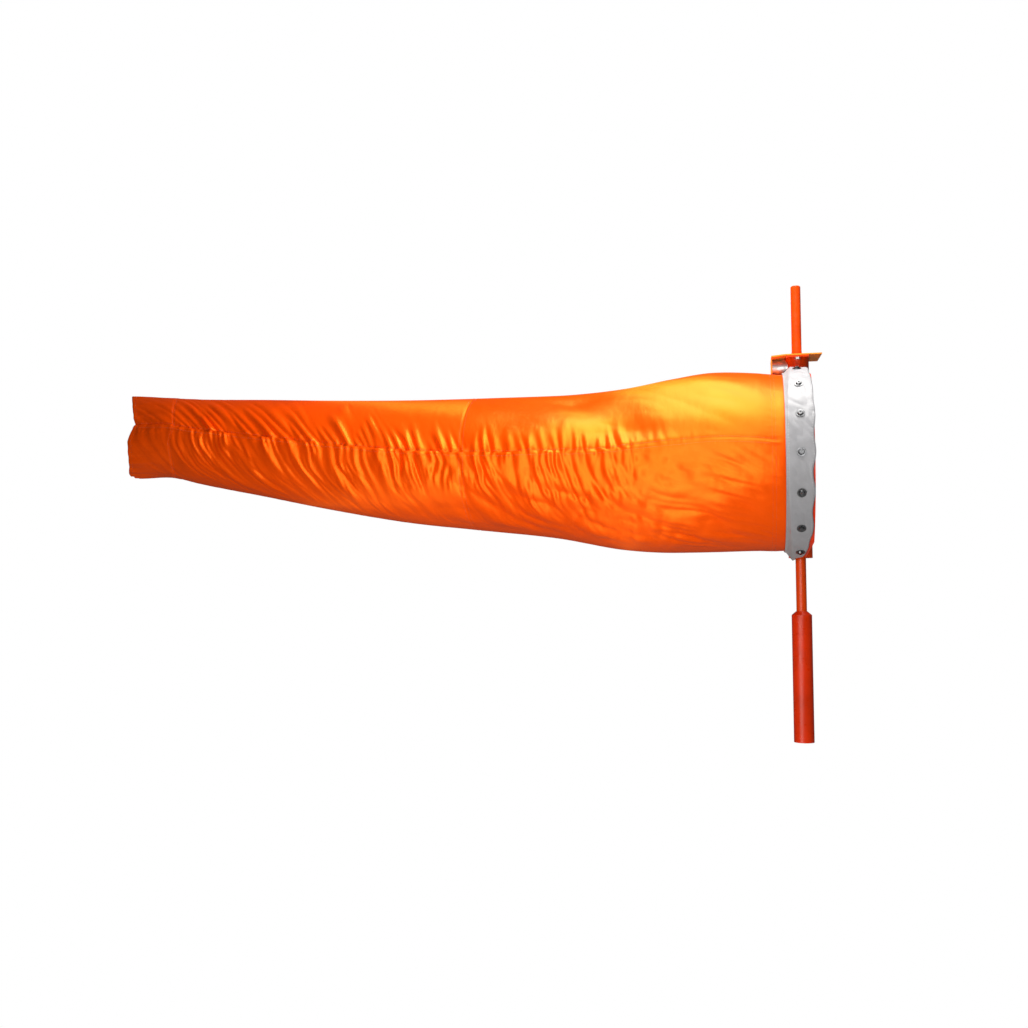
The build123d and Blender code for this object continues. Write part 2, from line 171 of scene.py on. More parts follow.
def add_world():
    """White where the camera sees it, and a dimmer even light for the object."""
    world = bpy.data.worlds.new("studio")
    world.use_nodes = True
    bpy.context.scene.world = world
    nodes, links = world.node_tree.nodes, world.node_tree.links
    nodes.clear()
    soft = nodes.new("ShaderNodeBackground")
    soft.inputs["Color"].default_value = (1, 1, 1, 1)
    soft.inputs["Strength"].default_value = 0.09
    backdrop = nodes.new("ShaderNodeBackground")
    backdrop.inputs["Color"].default_value = (1, 1, 1, 1)
    backdrop.inputs["Strength"].default_value = 1.0
    path = nodes.new("ShaderNodeLightPath")
    mix = nodes.new("ShaderNodeMixShader")
    out = nodes.new("ShaderNodeOutputWorld")
    links.new(path.outputs["Is Camera Ray"], mix.inputs["Fac"])
    links.new(soft.outputs["Background"], mix.inputs[1])
    links.new(backdrop.outputs["Background"], mix.inputs[2])
    links.new(mix.outputs["Shader"], out.inputs["Surface"])


add_camera()
add_world()
add_light("top", (-0.20, -0.36, 1.95), (-0.24, 0, 0.80), 1.3, 56, (1, 0.97, 0.92))
add_light("flash", (-0.10, -1.75, 0.62), (-0.08, 0, 0.68), 0.7, 9, (1, 0.98, 0.95))
add_light("bounce", (-0.75, -1.30, 0.12), (-0.95, 0, 0.70), 1.2, 17, (1, 0.96, 0.90))
bpy.context.scene.view_settings.view_transform = "Standard"


# ---------------------------------------------------------------- material tools
class Tree:
    """A small helper that builds one node material."""

    def __init__(self, name):
        self.material = bpy.data.materials.new(name)
        self.material.use_nodes = True
        self.nodes = self.material.node_tree.nodes
        self.links = self.material.node_tree.links
        self.shader = self.nodes["Principled BSDF"]

    def node(self, kind, **values):
        made = self.nodes.new(kind)
        for key, value in values.items():
            if hasattr(made, key):
                setattr(made, key, value)
            else:
                made.inputs[key.replace("_", " ").title()].default_value = value
        return made

    def link(self, source, output, target, socket):
        self.links.new(source.outputs[output], target.inputs[socket])

    def coordinates(self, kind, scale=(1, 1, 1)):
        place = self.node("ShaderNodeTexCoord")
        mapping = self.node("ShaderNodeMapping")
        mapping.inputs["Scale"].default_value = scale
        self.link(place, kind, mapping, "Vector")
        return mapping

    def noise(self, mapping, scale, detail=4.0, roughness=0.55):
        made = self.node("ShaderNodeTexNoise", scale=scale, detail=detail, roughness=roughness)
        self.link(mapping, "Vector", made, "Vector")
        return made

    def ramp(self, source, output, stops):
        made = self.node("ShaderNodeValToRGB")
        elements = made.color_ramp.elements
        while len(elements) < len(stops):
            elements.new(0.5)
        for element, (place, colour) in zip(elements, stops):
            element.position = place
            element.color = (*colour, 1) if len(colour) == 3 else colour
        self.link(source, output, made, "Fac")
        return made

    def bump(self, source, output, strength, distance, under=None):
        made = self.node("ShaderNodeBump", strength=strength, distance=distance)
        self.link(source, output, made, "Height")
        if under:
            self.link(under, "Normal", made, "Normal")
        return made

    def set(self, **values):
        for key, value in values.items():
            self.shader.inputs[key.replace("_", " ")].default_value = value


def grey(level):
    return (level, level, level)


def scaled(colour, factor):
    return tuple(channel * factor for channel in colour)


def paint(name, colour, roughness=0.32, peel=0.10):
    """Brushed-on gloss enamel: tone drift, orange peel, dust specks and rougher worn spots."""
    tree = Tree(name)
    place = tree.coordinates("Object")
    drift = tree.noise(place, 14.0, 5.0, 0.6)
    dull, bright = scaled(colour, 0.80), scaled(colour, 1.12)
    tone = tree.ramp(drift, "Fac", [(0.30, dull), (0.55, colour), (0.8, bright)])
    specks = tree.noise(place, 420.0, 2.0, 0.5)
    chips = tree.ramp(specks, "Fac", [(0.70, grey(0.0)), (0.76, grey(1.0))])
    mix = tree.node("ShaderNodeMix", data_type="RGBA")
    tree.links.new(chips.outputs["Color"], mix.inputs["Factor"])
    tree.links.new(tone.outputs["Color"], mix.inputs[6])
    mix.inputs[7].default_value = (*scaled(colour, 0.45), 1)
    tree.links.new(mix.outputs[2], tree.shader.inputs["Base Color"])
    gloss = tree.noise(place, 60.0, 3.0, 0.6)
    rough = tree.ramp(gloss, "Fac", [(0.3, grey(roughness * 0.75)), (0.75, grey(roughness * 1.35))])
    tree.link(rough, "Color", tree.shader, "Roughness")
    orange_peel = tree.noise(place, 260.0, 2.0, 0.4)
    strokes = tree.noise(tree.coordinates("Object", (1, 1, 0.06)), 500.0, 2.0, 0.5)
    low = tree.bump(orange_peel, "Fac", peel, 0.0006)
    high = tree.bump(strokes, "Fac", peel * 0.8, 0.0004, low)
    tree.link(high, "Normal", tree.shader, "Normal")
    tree.set(Coat_Weight=0.05, Coat_Roughness=0.20, Specular_IOR_Level=0.25)
    return tree.material


def metal(name, colour, roughness, stretch=(1, 1, 0.05), stain=0.75):
    """Plated or ground steel with fine tool lines and dull stains."""
    tree = Tree(name)
    place = tree.coordinates("Object")
    stains = tree.noise(place, 55.0, 5.0, 0.65)
    tone = tree.ramp(stains, "Fac", [(0.32, scaled(colour, stain)), (0.62, colour)])
    tree.link(tone, "Color", tree.shader, "Base Color")
    rough = tree.ramp(stains, "Fac", [(0.3, grey(roughness * 1.5)), (0.7, grey(roughness * 0.8))])
    tree.link(rough, "Color", tree.shader, "Roughness")
    lines = tree.noise(tree.coordinates("Object", stretch), 1800.0, 2.0, 0.5)
    ground = tree.bump(lines, "Fac", 0.12, 0.0002)
    tree.link(ground, "Normal", tree.shader, "Normal")
    tree.set(Metallic=1.0)
    return tree.material


def satin(name, colour):
    """Satin polyester: fine diagonal twill, slubs along the yarn, dye drift and a warm sheen."""
    tree = Tree(name)
    place = tree.coordinates("UV")
    drift = tree.noise(place, 9.0, 5.0, 0.6)
    dull, bright = scaled(colour, 0.90), scaled(colour, 1.06)
    tone = tree.ramp(drift, "Fac", [(0.25, dull), (0.55, colour), (0.85, bright)])
    tree.link(tone, "Color", tree.shader, "Base Color")
    twill = tree.node("ShaderNodeTexWave", wave_type="BANDS", bands_direction="DIAGONAL", scale=420.0)
    twill.inputs["Distortion"].default_value = 0.6
    tree.link(place, "Vector", twill, "Vector")
    slubs = tree.noise(tree.coordinates("UV", (1, 14, 1)), 160.0, 3.0, 0.6)
    creases = tree.noise(tree.coordinates("UV", (1, 0.45, 1)), 46.0, 4.0, 0.6)
    low = tree.bump(creases, "Fac", 0.16, 0.006)
    middle = tree.bump(slubs, "Fac", 0.10, 0.0004, low)
    high = tree.bump(twill, "Fac", 0.10, 0.0002, middle)
    tree.link(high, "Normal", tree.shader, "Normal")
    rough = tree.ramp(drift, "Fac", [(0.3, grey(0.36)), (0.7, grey(0.44))])
    tree.link(rough, "Color", tree.shader, "Roughness")
    tree.set(Specular_IOR_Level=0.08, Specular_Tint=(1.0, 0.35, 0.02, 1))
    gloss = tree.node("ShaderNodeBsdfAnisotropic", anisotropy=0.45)
    shine = tree.ramp(drift, "Fac", [(0.25, (1.0, 0.20, 0.014)), (0.85, (1.0, 0.25, 0.028))])
    tree.link(shine, "Color", gloss, "Color")
    soft = tree.ramp(slubs, "Fac", [(0.3, grey(0.42)), (0.7, grey(0.50))])
    tree.link(soft, "Color", gloss, "Roughness")
    tree.link(high, "Normal", gloss, "Normal")
    mix = tree.node("ShaderNodeMixShader")
    mix.inputs["Fac"].default_value = 0.34
    tree.links.new(tree.shader.outputs["BSDF"], mix.inputs[1])
    tree.links.new(gloss.outputs["BSDF"], mix.inputs[2])
    tree.links.new(mix.outputs["Shader"], tree.nodes["Material Output"].inputs["Surface"])
    return tree.material


def coated_fabric(name, colour):
    """Grey coated polyester: square scrim showing through the coating, smudges and soft creases."""
    tree = Tree(name)
    place = tree.coordinates("UV")
    smudge = tree.noise(place, 26.0, 5.0, 0.65)
    dull, bright = scaled(colour, 0.84), scaled(colour, 1.08)
    tone = tree.ramp(smudge, "Fac", [(0.25, dull), (0.6, colour), (0.85, bright)])
    tree.link(tone, "Color", tree.shader, "Base Color")
    warp = tree.node("ShaderNodeTexWave", wave_type="BANDS", bands_direction="X", scale=260.0)
    weft = tree.node("ShaderNodeTexWave", wave_type="BANDS", bands_direction="Y", scale=260.0)
    tree.link(place, "Vector", warp, "Vector")
    tree.link(place, "Vector", weft, "Vector")
    creases = tree.noise(tree.coordinates("UV", (1, 0.5, 1)), 60.0, 4.0, 0.6)
    low = tree.bump(creases, "Fac", 0.25, 0.004)
    middle = tree.bump(warp, "Fac", 0.14, 0.0003, low)
    high = tree.bump(weft, "Fac", 0.14, 0.0003, middle)
    tree.link(high, "Normal", tree.shader, "Normal")
    rough = tree.ramp(smudge, "Fac", [(0.3, grey(0.42)), (0.7, grey(0.55))])
    tree.link(rough, "Color", tree.shader, "Roughness")
    tree.set(Sheen_Weight=0.15)
    return tree.material


def thread(name, colour):
    """Twisted sewing thread."""
    tree = Tree(name)
    place = tree.coordinates("Object")
    twist = tree.node("ShaderNodeTexWave", wave_type="BANDS", bands_direction="DIAGONAL", scale=900.0)
    tree.link(place, "Vector", twist, "Vector")
    tone = tree.ramp(twist, "Fac", [(0.2, scaled(colour, 0.6)), (0.8, colour)])
    tree.link(tone, "Color", tree.shader, "Base Color")
    fuzz = tree.bump(twist, "Fac", 0.4, 0.0003)
    tree.link(fuzz, "Normal", tree.shader, "Normal")
    tree.set(Roughness=0.6, Sheen_Weight=0.3)
    return tree.material


def rubber(name):
    """Black seal rubber with a faint bloom."""
    tree = Tree(name)
    place = tree.coordinates("Object")
    bloom = tree.noise(place, 300.0, 3.0, 0.6)
    tone = tree.ramp(bloom, "Fac", [(0.3, grey(0.012)), (0.8, grey(0.035))])
    tree.link(tone, "Color", tree.shader, "Base Color")
    tree.link(tree.bump(bloom, "Fac", 0.2, 0.0003), "Normal", tree.shader, "Normal")
    tree.set(Roughness=0.7)
    return tree.material


def floor_white(name):
    """Pale matt floor with a faint tone drift, as white as the backdrop where it is looked at directly."""
    tree = Tree(name)
    drift = tree.noise(tree.coordinates("Object"), 0.6, 3.0, 0.5)
    tone = tree.ramp(drift, "Fac", [(0.3, grey(0.90)), (0.7, grey(0.93))])
    tree.link(tone, "Color", tree.shader, "Base Color")
    tree.set(Roughness=0.9)
    glow = tree.node("ShaderNodeEmission")
    path = tree.node("ShaderNodeLightPath")
    mix = tree.node("ShaderNodeMixShader")
    tree.link(path, "Is Camera Ray", mix, "Fac")
    tree.links.new(tree.shader.outputs["BSDF"], mix.inputs[1])
    tree.links.new(glow.outputs["Emission"], mix.inputs[2])
    tree.links.new(mix.outputs["Shader"], tree.nodes["Material Output"].inputs["Surface"])
    return tree.material


RED = (0.60, 0.026, 0.0)
ORANGE_RED = (0.62, 0.048, 0.0)
materials = {
    "red_paint": paint("red_paint", RED),
    "orange_paint": paint("orange_paint", ORANGE_RED),
    # tan_paint is a lighter, yellower copy of the orange paint: its extra brightness is painted light on
    # the plate, lit from above and from below.
    "tan_paint": paint("tan_paint", (0.94, 0.29, 0.022), 0.42),
    "zinc_steel": metal("zinc_steel", (0.68, 0.70, 0.72), 0.42, stain=0.6),
    # A much darker copy of the zinc steel: its darkness is painted shade on the screws and washers.
    "shade_darkened_zinc": metal("shade_darkened_zinc", (0.14, 0.143, 0.150), 0.28, stain=0.5),
    "bearing_steel": metal("bearing_steel", (0.62, 0.62, 0.64), 0.12),
    "spring_steel": metal("spring_steel", (0.22, 0.22, 0.24), 0.35),
    "seal_rubber": rubber("seal_rubber"),
    "grey_band": coated_fabric("grey_band", (0.250, 0.253, 0.272)),
    "orange_fabric": satin("orange_fabric", (0.96, 0.072, 0.0)),
    "orange_thread": thread("orange_thread", (0.62, 0.07, 0.002)),
    "grey_thread": thread("grey_thread", (0.5, 0.5, 0.52)),
}
slots = {entry["node"]: entry["material_slot"] for entry in frame["record"]["subparts"]}
for node_name, node in frame["nodes"].items():
    node.data.materials.clear()
    # Screws and washers take the darker zinc copy, whose darkness is painted shade.
    shade_painted = node_name in ("band_screws", "band_washers")
    node.data.materials.append(materials["shade_darkened_zinc" if shade_painted else slots[node_name]])


# ---------------------------------------------------------------- shape tools
def smooth_step(x, start, end):
    t = np.clip((x - start) / (end - start), 0, 1)
    return t * t * (3 - 2 * t)


def bell(x, middle, width):
    return np.exp(-(((x - middle) / width) ** 2))


def gradient_noise(x, y, seed):
    """Smooth 2-D gradient noise, about -0.7 to 0.7, the same for the same seed."""
    angles = np.random.default_rng(seed).random((256, 256)) * 2 * np.pi
    x0, y0 = np.floor(x).astype(int), np.floor(y).astype(int)
    fx, fy = x - x0, y - y0
    ux, uy = fx**3 * (fx * (6 * fx - 15) + 10), fy**3 * (fy * (6 * fy - 15) + 10)

    def corner(i, j):
        angle = angles[(x0 + i) % 256, (y0 + j) % 256]
        return np.cos(angle) * (fx - i) + np.sin(angle) * (fy - j)

    low = corner(0, 0) * (1 - ux) + corner(1, 0) * ux
    high = corner(0, 1) * (1 - ux) + corner(1, 1) * ux
    return low * (1 - uy) + high * uy


def folds(x, y, seed):
    """Rounded hills with narrow valleys between them, about 0 to 1."""
    n = gradient_noise(x, y, seed)
    return np.sqrt(n * n + 0.0016) * 2.2


def smooth_table(s, column):
    """Smooth curve through one column of the stations (monotone cubic)."""
    x, y = STATIONS[:, 0], STATIONS[:, column]
    slope = np.diff(y) / np.diff(x)
    m = np.concatenate([[slope[0]], (slope[:-1] + slope[1:]) / 2, [slope[-1]]])
    m[1:-1][slope[:-1] * slope[1:] <= 0] = 0
    s = np.clip(s, x[0], x[-1])
    i = np.clip(np.searchsorted(x, s) - 1, 0, len(x) - 2)
    h = x[i + 1] - x[i]
    t = (s - x[i]) / h
    start = (2 * t**3 - 3 * t**2 + 1) * y[i] + (t**3 - 2 * t**2 + t) * h * m[i]
    return start + (-2 * t**3 + 3 * t**2) * y[i + 1] + (t**3 - t**2) * h * m[i + 1]


def half_height(s):
    return (smooth_table(s, 1) - smooth_table(s, 2)) / 2


def seam_angle(s):
    table = np.array(SEAM_RISE)
    return np.arcsin(np.interp(s, table[:, 0], table[:, 1]))


def side_puckers(s, v, seed):
    """Puckers that a side seam gathers into the cloth; v is the distance above the seam."""
    along = smooth_step(s, 0.26, 0.50) * (1 - 0.75 * smooth_step(s, 1.50, 1.70))
    above = (v >= 0).astype(float)
    wander = 0.012 * gradient_noise(s / 0.10, v / 0.09 + 3, seed + 6)

    # Above the seam: short leaning puckers, longer and wider towards the tail.
    lean = 0.25 + 0.45 * smooth_step(s, 0.75, 1.15) + 0.95 * smooth_step(s, 1.2, 1.6)
    pitch = 0.028 + 0.020 * smooth_step(s, 1.15, 1.6)
    reach_up = 0.040 + 0.022 * smooth_step(s, 0.8, 1.1) + 0.030 * smooth_step(s, 1.2, 1.6)
    stretched = np.interp(s, PUCKER_S, PUCKER_COUNT)
    upper = folds(stretched - (lean * v - wander * 0.5) / pitch, v / 0.20 + 5, seed)
    uneven = 0.35 + 1.3 * np.clip(gradient_noise(stretched * 0.55, v / 0.5, seed + 1) + 0.45, 0, 1)
    rise = np.exp(-((np.clip(v, 0, None) / (reach_up * uneven)) ** 2))

    # Below the seam: long puckers that sweep back, some of them split in two.
    sweep = 1.2 + 2.4 * smooth_step(s, 1.0, 1.4)
    drift = 0.10 + 0.16 * smooth_step(s, 1.1, 1.6)
    u = s + sweep * v * v - drift * v + wander
    lower = folds(u / 0.036, v / 0.26 + 9, seed + 2)
    split_along = u / 0.017 + 0.6 * gradient_noise(s / 0.05, v / 0.05, seed + 7)
    split = folds(split_along, v / 0.085, seed + 5)
    patch = smooth_step(gradient_noise(u / 0.085, v / 0.10, seed + 8), -0.35, 0.25)
    length = 0.55 + 1.1 * np.clip(gradient_noise(u / 0.05, v / 0.9, seed + 3) + 0.5, 0, 1)
    fall = np.exp(-((np.clip(-v, 0, None) / (0.13 * length)) ** 2))
    deep = (0.75 * lower + 0.60 * split * patch) * fall

    # On the seam: fine gathers a few stitches wide.
    fine = folds(s / 0.0085, v / 0.05, seed + 4) * np.exp(-((v / 0.015) ** 2))
    fine_along = smooth_step(s, 0.06, 0.3) * 0.6 + 0.4

    wave = above * upper * rise + (1 - above) * deep
    sunk = 0.35 * (above * rise + (1 - above) * fall)
    return PUCKER_HEIGHT * along * (wave - sunk) + FINE_HEIGHT * fine_along * fine


def seam_line(v):
    """Flat-felled seam: a pinched line with a thick lap below it."""
    lap = smooth_step(v, -0.0125, -0.0095) * (1 - smooth_step(v, -0.002, 0.001))
    return 0.0009 * lap - 0.0020 * bell(v, 0.001, 0.0028) - 0.0008 * bell(v, -0.0115, 0.002)


def broad_folds(s, v, far):
    """Slack folds of the sock's wide front half, most of them below the side seams."""
    shift = np.where(far, 1.0, 0.0)
    below = smooth_step(-v, 0.0, 0.05)
    along = (0.30 + 0.70 * (1 - smooth_step(s, 0.60, 0.95))) * smooth_step(s, 0.028, 0.20)
    bent = 0.03 * gradient_noise(s / 0.20 + 9 * shift, v / 0.16, 75)
    diagonal = folds((s - 1.5 * v + bent) / 0.105 + 40 * shift, (v + 0.6 * s) / 0.15, 71) - 0.4
    billow = gradient_noise(s / 0.19 + 30 * shift, v / 0.11 + 7, 73)
    cross = folds((s + 0.20 * v + bent) / 0.046 + 20 * shift, (v - 0.1 * s) / 0.12, 79) - 0.4
    slack = folds((s - 2.3 * v + 2 * bent) / 0.055 + 50 * shift, (v + 0.5 * s) / 0.10, 97) - 0.4
    hollow = bell(s - 1.1 * (v - 0.06), 0.42, 0.085) * smooth_step(v, 0.0, 0.05)
    relief = DIAGONAL_HEIGHT * along * diagonal * (0.25 + 0.75 * below)
    relief = relief + BILLOW_HEIGHT * along * billow
    relief = relief + CROSS_HEIGHT * cross * below * bell(s, 0.46, 0.22)
    relief = relief + SLACK_HEIGHT * slack * below * bell(s, 0.22, 0.16)
    return relief - HOLLOW_DEPTH * hollow


def sewn_edges(s, t, v):
    """The side seam, the cross seam, the tail's hem and the small tucks at the ring."""
    relief = seam_line(v) * smooth_step(s, 0.045, 0.06)
    relief = relief - 0.0004 * bell(s, PANEL_SEAM, 0.0035) - 0.0010 * bell(s, TAIL_HEM, 0.004)
    relief = relief + 0.0007 * smooth_step(s, TAIL_HEM, TAIL_HEM + 0.004)
    tucks = folds(t * 34, s / 0.05, 83) * bell(s, 0.060, 0.022) * TUCK_HEIGHT
    hem_ripple = gradient_noise(t * 5.5 + 3, s / 0.4, 89) * smooth_step(s, TAIL_HEM, TAIL) * HEM_RIPPLE
    return relief + tucks + hem_ripple


def sock_relief(s, t):
    """How far the cloth stands out from its smooth oval, at distance s and angle t from the near side."""
    far = np.abs(t) > np.pi / 2
    folded = np.where(far, np.sign(t) * np.pi - t, t)
    v = half_height(s) * (folded - seam_angle(s))
    ends = smooth_step(s, 0.032, 0.085) * (1 - 0.3 * smooth_step(s, TAIL_HEM, TAIL))
    calm = 1 - 0.92 * smooth_step(np.abs(folded), 1.0, 1.45)
    puckers = np.where(far, side_puckers(s, v, FAR_SEED), side_puckers(s, v, NEAR_SEED)) * ends
    crease_along = smooth_step(s, 0.028, 0.20) * (0.35 + 0.65 * (1 - smooth_step(s, 0.35, 0.8)))
    crease = CREASE_HEIGHT * np.exp(-np.abs(v) / 0.060) * crease_along
    relief = puckers + broad_folds(s, v, far) * ends * calm + crease
    return relief * (0.15 + 0.85 * calm) + sewn_edges(s, t, v)


def tail_reach(t):
    """The open end isn't cut square: it draws in at the seams and hangs longer below them."""
    near = np.abs(t) < np.pi / 2
    folded = np.where(near, t, np.sign(t) * np.pi - t)
    depth = np.where(near, 1.0, 0.4)
    return depth * np.interp(folded, TAIL_ANGLE, TAIL_DRAW)


def sock_point(s, t, lift=0.0):
    """Points of the cloth as an array of x, y, z."""
    top, bottom, half_width = (smooth_table(s, k) for k in (1, 2, 3))
    middle, half = (top + bottom) / 2, (top - bottom) / 2
    out = sock_relief(s, t) + lift
    length = np.hypot(np.cos(t) * half, np.sin(t) * half_width)
    y = -half_width * np.cos(t) - out * np.cos(t) * half / length
    z = middle + half * np.sin(t) + out * np.sin(t) * half_width / length
    x = -(s + tail_reach(t) * smooth_step(s, 1.40, TAIL))
    return np.stack([x, y, z], axis=-1)


def grid_mesh(name, points, uv, material, closed_columns):
    """A mesh of quads from a rows x columns grid of points, with UVs in metres."""
    rows, columns = points.shape[:2]
    index = np.arange(rows * columns).reshape(rows, columns)
    if closed_columns:
        right = np.roll(index, -1, axis=1)
        a, b = index[:-1], right[:-1]
        c, d = right[1:], index[1:]
    else:
        a, b = index[:-1, :-1], index[:-1, 1:]
        c, d = index[1:, 1:], index[1:, :-1]
    quads = np.stack([a, b, c, d], axis=-1).reshape(-1, 4)
    mesh = bpy.data.meshes.new(name)
    mesh.from_pydata(points.reshape(-1, 3).tolist(), [], quads.tolist())
    layer = mesh.uv_layers.new(name="metres")
    flat_uv = uv.reshape(-1, 2)[quads.reshape(-1)]
    if closed_columns:
        whole = uv[:, :, 1].max()
        corner_u = flat_uv[:, 1].reshape(-1, 4)
        wrap = corner_u.max(axis=1) - corner_u.min(axis=1) > whole / 2
        wrapped = corner_u[wrap]
        corner_u[wrap] = np.where(wrapped < whole / 2, wrapped + whole, wrapped)
        flat_uv[:, 1] = corner_u.reshape(-1)
    layer.data.foreach_set("uv", flat_uv.astype(np.float32).reshape(-1))
    mesh.shade_smooth()
    mesh.materials.append(materials[material])
    made = bpy.data.objects.new(name, mesh)
    bpy.context.scene.collection.objects.link(made)
    return made


def plain_mesh(name, points, faces, material):
    """A smooth mesh from points and faces, with one material."""
    mesh = bpy.data.meshes.new(name)
    mesh.from_pydata(points.tolist(), [], faces)
    mesh.shade_smooth()
    mesh.materials.append(materials[material])
    made = bpy.data.objects.new(name, mesh)
    bpy.context.scene.collection.objects.link(made)
    return made


def sock_angles():
    return -np.pi + 2 * np.pi * (np.arange(COLUMNS) + 0.5) / COLUMNS


def oval_length(s):
    """Length round the sock's smooth oval."""
    half = half_height(s)
    wide = smooth_table(s, 3)
    return np.pi * (3 * (half + wide) - np.sqrt((3 * half + wide) * (half + 3 * wide)))


def sock_piece(name, start, end, front_tuck=0.0, hem_turn=False):
    """One sewn cloth of the sock, tucked in under the one before it and hemmed at its open end."""
    rows = np.linspace(start, end, int((end - start) / GRID) + 1)
    s, t = np.meshgrid(rows, sock_angles(), indexing="ij")
    lift = -front_tuck * (1 - smooth_step(s, start + 0.008, start + 0.012))
    points = sock_point(s, t, lift)
    across = (t + np.pi) / (2 * np.pi) * 1.2
    uv = np.stack([s, across], axis=-1)
    if hem_turn:
        turn = [(0.0012, -0.0008), (0.0010, -0.0022), (-0.006, -0.0030), (-0.024, -0.0032)]
        edge_s, edge_t = s[-1], t[-1]
        extra, extra_uv = [], []
        for back, inward in turn:
            ring = sock_point(edge_s + min(back, 0), edge_t, inward)
            ring[:, 0] -= max(back, 0)
            extra.append(ring)
            extra_uv.append(np.stack([edge_s + abs(back), across[-1]], axis=-1))
        points = np.concatenate([points, np.array(extra)])
        uv = np.concatenate([uv, np.array(extra_uv)])
    return grid_mesh(name, points, uv, "orange_fabric", True)


def stitches(name, centres, ahead, out, length, width, material):
    """Short raised stitches, each a tapered six-point grain lying along its seam."""
    ahead = ahead / np.linalg.norm(ahead, axis=1, keepdims=True)
    out = out - ahead * (out * ahead).sum(axis=1, keepdims=True)
    out = out / np.linalg.norm(out, axis=1, keepdims=True)
    side = np.cross(ahead, out)
    corners = [ahead * length / 2 - out * width * 0.4, -ahead * length / 2 - out * width * 0.4]
    corners += [side * width / 2, out * width * 0.55, -side * width / 2, -out * width * 0.55]
    points = np.stack([centres + corner for corner in corners], axis=1).reshape(-1, 3)
    ring = [(2, 3), (3, 4), (4, 5), (5, 2)]
    pattern = [(0, b, a) for a, b in ring] + [(1, a, b) for a, b in ring]
    faces = [tuple(6 * i + k for k in face) for i in range(len(centres)) for face in pattern]
    return plain_mesh(name, points, faces, material)


def surface_frame(place, s, t):
    """Point, direction of growing s, direction of growing t and outward direction on a surface."""
    step = 0.0015
    here = place(s, t)
    along = place(s + step, t) - place(s - step, t)
    around = place(s, t + step) - place(s, t - step)
    out = np.cross(around, along)
    outward = here - np.array([0, 0, HOOP_Z])
    outward[:, 0] = 0
    out *= np.sign((out * outward).sum(axis=1, keepdims=True))
    out /= np.linalg.norm(out, axis=1, keepdims=True)
    return here, along, around, out


def sock_stitches(name, rings, start, end):
    """Every stitch on one cloth of the sock: rings round it, and two rows along each side seam."""
    centres, ahead, outs = [], [], []
    for ring in rings:
        count = int(float(oval_length(np.array(ring))) / STITCH_PITCH)
        t = -np.pi + 2 * np.pi * np.arange(count) / count
        here, _, around, out = surface_frame(sock_point, np.full(count, ring), t)
        centres.append(here + out * STITCH_LIFT)
        ahead.append(around)
        outs.append(out)
    for side in ("near", "far"):
        for row in SEAM_ROWS:
            s = np.arange(start, end, STITCH_PITCH)
            t = seam_angle(s) + row / half_height(s)
            t = t if side == "near" else np.pi - t
            here, along, _, out = surface_frame(sock_point, s, t)
            centres.append(here + out * STITCH_LIFT)
            ahead.append(along)
            outs.append(out)
    lists = (np.concatenate(part) for part in (centres, ahead, outs))
    return stitches(name, *lists, STITCH_LENGTH, STITCH_WIDTH, "orange_thread")


def bend_over(piece):
    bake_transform(piece)


# ---------------------------------------------------------------- the sock
front_cloth = sock_piece("sock_front_cloth", MOUTH, PANEL_SEAM)
front_rings = (0.060, 0.068, PANEL_SEAM - 0.005)
front_thread = sock_stitches("sock_front_stitches", front_rings, 0.075, 0.800)
rear_cloth = sock_piece("sock_rear_cloth", PANEL_SEAM - PANEL_LAP, TAIL, 0.0008, True)
rear_rings = (PANEL_SEAM + 0.005, TAIL_HEM - 0.003, TAIL_HEM + 0.004, TAIL - 0.010)
rear_thread = sock_stitches("sock_rear_stitches", rear_rings, 0.820, TAIL - 0.015)
for piece in (front_cloth, front_thread):
    bend_over(piece)
for piece in (rear_cloth, rear_thread):
    bend_over(piece)
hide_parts("sock_throat", "sock_middle")
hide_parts("sock_tail")


def cut_of(start, end):
    """Flat cut of one length of sock: a trapezium as wide as the oval at each end."""
    wide, narrow = float(oval_length(np.array(start))), float(oval_length(np.array(end)))
    return (wide, end - start), (wide + narrow) / 2 * (end - start)


front_flat, front_area = cut_of(MOUTH, PANEL_SEAM)
rear_flat, rear_area = cut_of(PANEL_SEAM, TAIL)


# ---------------------------------------------------------------- the grey band
def screw_angles():
    """Angles of the screws round the hoop, from the bottom, positive on the near side."""
    rise = (np.arange(SCREWS_PER_SIDE) - (SCREWS_PER_SIDE - 1) / 2) * SCREW_STEP
    near = np.pi / 2 + rise
    return np.concatenate([near, -near])


def sock_radius_at(angle):
    """Distance from the hoop's centre to the sock's front oval, at an angle from the bottom."""
    top, bottom, wide = STATIONS[1, 1:]
    half, offset = (top - bottom) / 2, (top + bottom) / 2 - HOOP_Z
    down, across = -np.cos(angle), np.sin(angle)
    a = (across / wide) ** 2 + (down / half) ** 2
    b = -2 * down * offset / half**2
    c = (offset / half) ** 2 - 1
    return (-b + np.sqrt(b * b - 4 * a * c)) / (2 * a)


def band_front_edge(angle):
    table = np.array(BAND_FRONT)
    height = -BAND_RADIUS * np.cos(angle)
    nearest = np.min(np.abs(angle[..., None] - screw_angles()), axis=-1) / SCREW_STEP
    scallop = np.cos(2 * np.pi * np.clip(nearest, 0, 0.5)) * bell(height, -0.05, 0.16)
    return np.interp(height, table[:, 0], table[:, 1]) + 0.0030 * scallop


